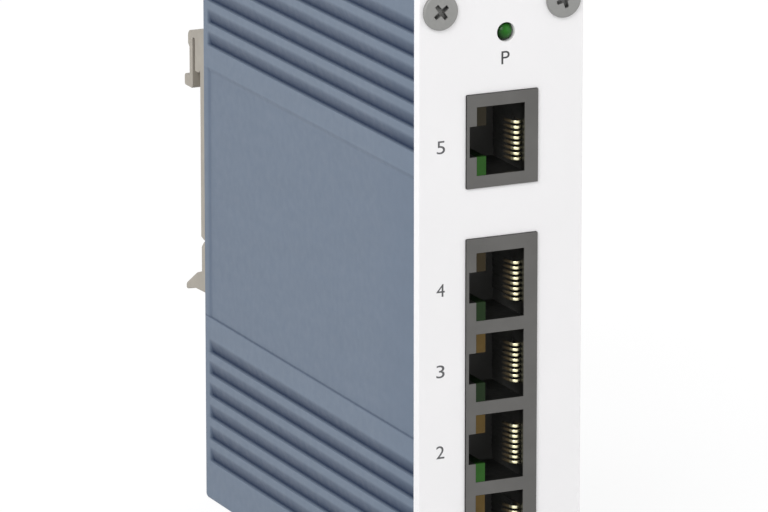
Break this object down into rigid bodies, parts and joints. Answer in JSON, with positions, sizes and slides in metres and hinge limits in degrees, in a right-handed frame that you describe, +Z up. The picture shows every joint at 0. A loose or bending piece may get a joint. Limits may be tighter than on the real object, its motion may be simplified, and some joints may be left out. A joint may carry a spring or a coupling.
{
  "type": "din rail ethernet switch",
  "caption": "Slim moulded network switch with front modular sockets, a status light, a power header and a rear clip with a sprung latch for a 35 mm rail.",
  "frame": {"origin": "centre of the footprint of the whole device, on the plane of the flat base", "axes": "+Z up, -Y out of the socket panel, +Y towards the mounting rail, X across the width"},
  "size_m": [0.03, 0.1006, 0.113],
  "materials": {
    "housing_plastic": "fine satin, blue-grey",
    "panel_white": "smooth white",
    "screw_zinc": "zinc plated",
    "socket_grey": "dark grey moulding",
    "contact_gold": "gold flashed",
    "window_amber": "tinted amber",
    "window_green": "tinted green",
    "tinplate": "tin plated",
    "lens_green": "green lens",
    "black_moulding": "black",
    "header_green": "green moulding",
    "pin_tin": "tinned",
    "board_green": "solder mask",
    "chip_black": "moulded epoxy",
    "can_aluminium": "drawn can",
    "ferrite": "ferrite",
    "can_steel": "can",
    "ceramic": "ceramic",
    "clip_beige": "beige moulding",
    "spring_steel": "spring wire"
  },
  "bodies": {
    "switch": {"housing": "housing_plastic", "front_panel": "panel_white", "panel_screws": "screw_zinc", "rj45_single_shell": "socket_grey", "rj45_gang_shell": "socket_grey", "rj45_single_contacts": "contact_gold", "rj45_gang_contacts": "contact_gold", "rj45_amber_windows": "window_amber", "rj45_green_windows": "window_green", "rj45_single_shield": "tinplate", "rj45_gang_shield": "tinplate", "power_led": "lens_green", "led_holder": "black_moulding", "power_header": "header_green", "power_header_pins": "pin_tin", "main_board": "board_green", "switch_chip": "chip_black", "line_transformers": "chip_black", "memory_chip": "chip_black", "voltage_regulator": "chip_black", "filter_capacitors": "can_aluminium", "power_inductor": "ferrite", "input_choke": "ferrite", "clock_crystal": "can_steel", "input_fuse": "ceramic", "chip_capacitors": "ceramic", "din_bracket": "clip_beige", "bracket_screws": "screw_zinc", "latch_spring": "spring_steel"},
    "latch": {"din_latch": "clip_beige"}
  },
  "joints": [
    {"name": "latch_slide", "type": "slide", "parent": "switch", "child": "latch", "axis": [0, 0, -1], "range_m": [0, 0.003], "stiffness_N_per_m": 900, "springref_m": -0.004, "deforming": ["latch_spring"]}
  ]
}
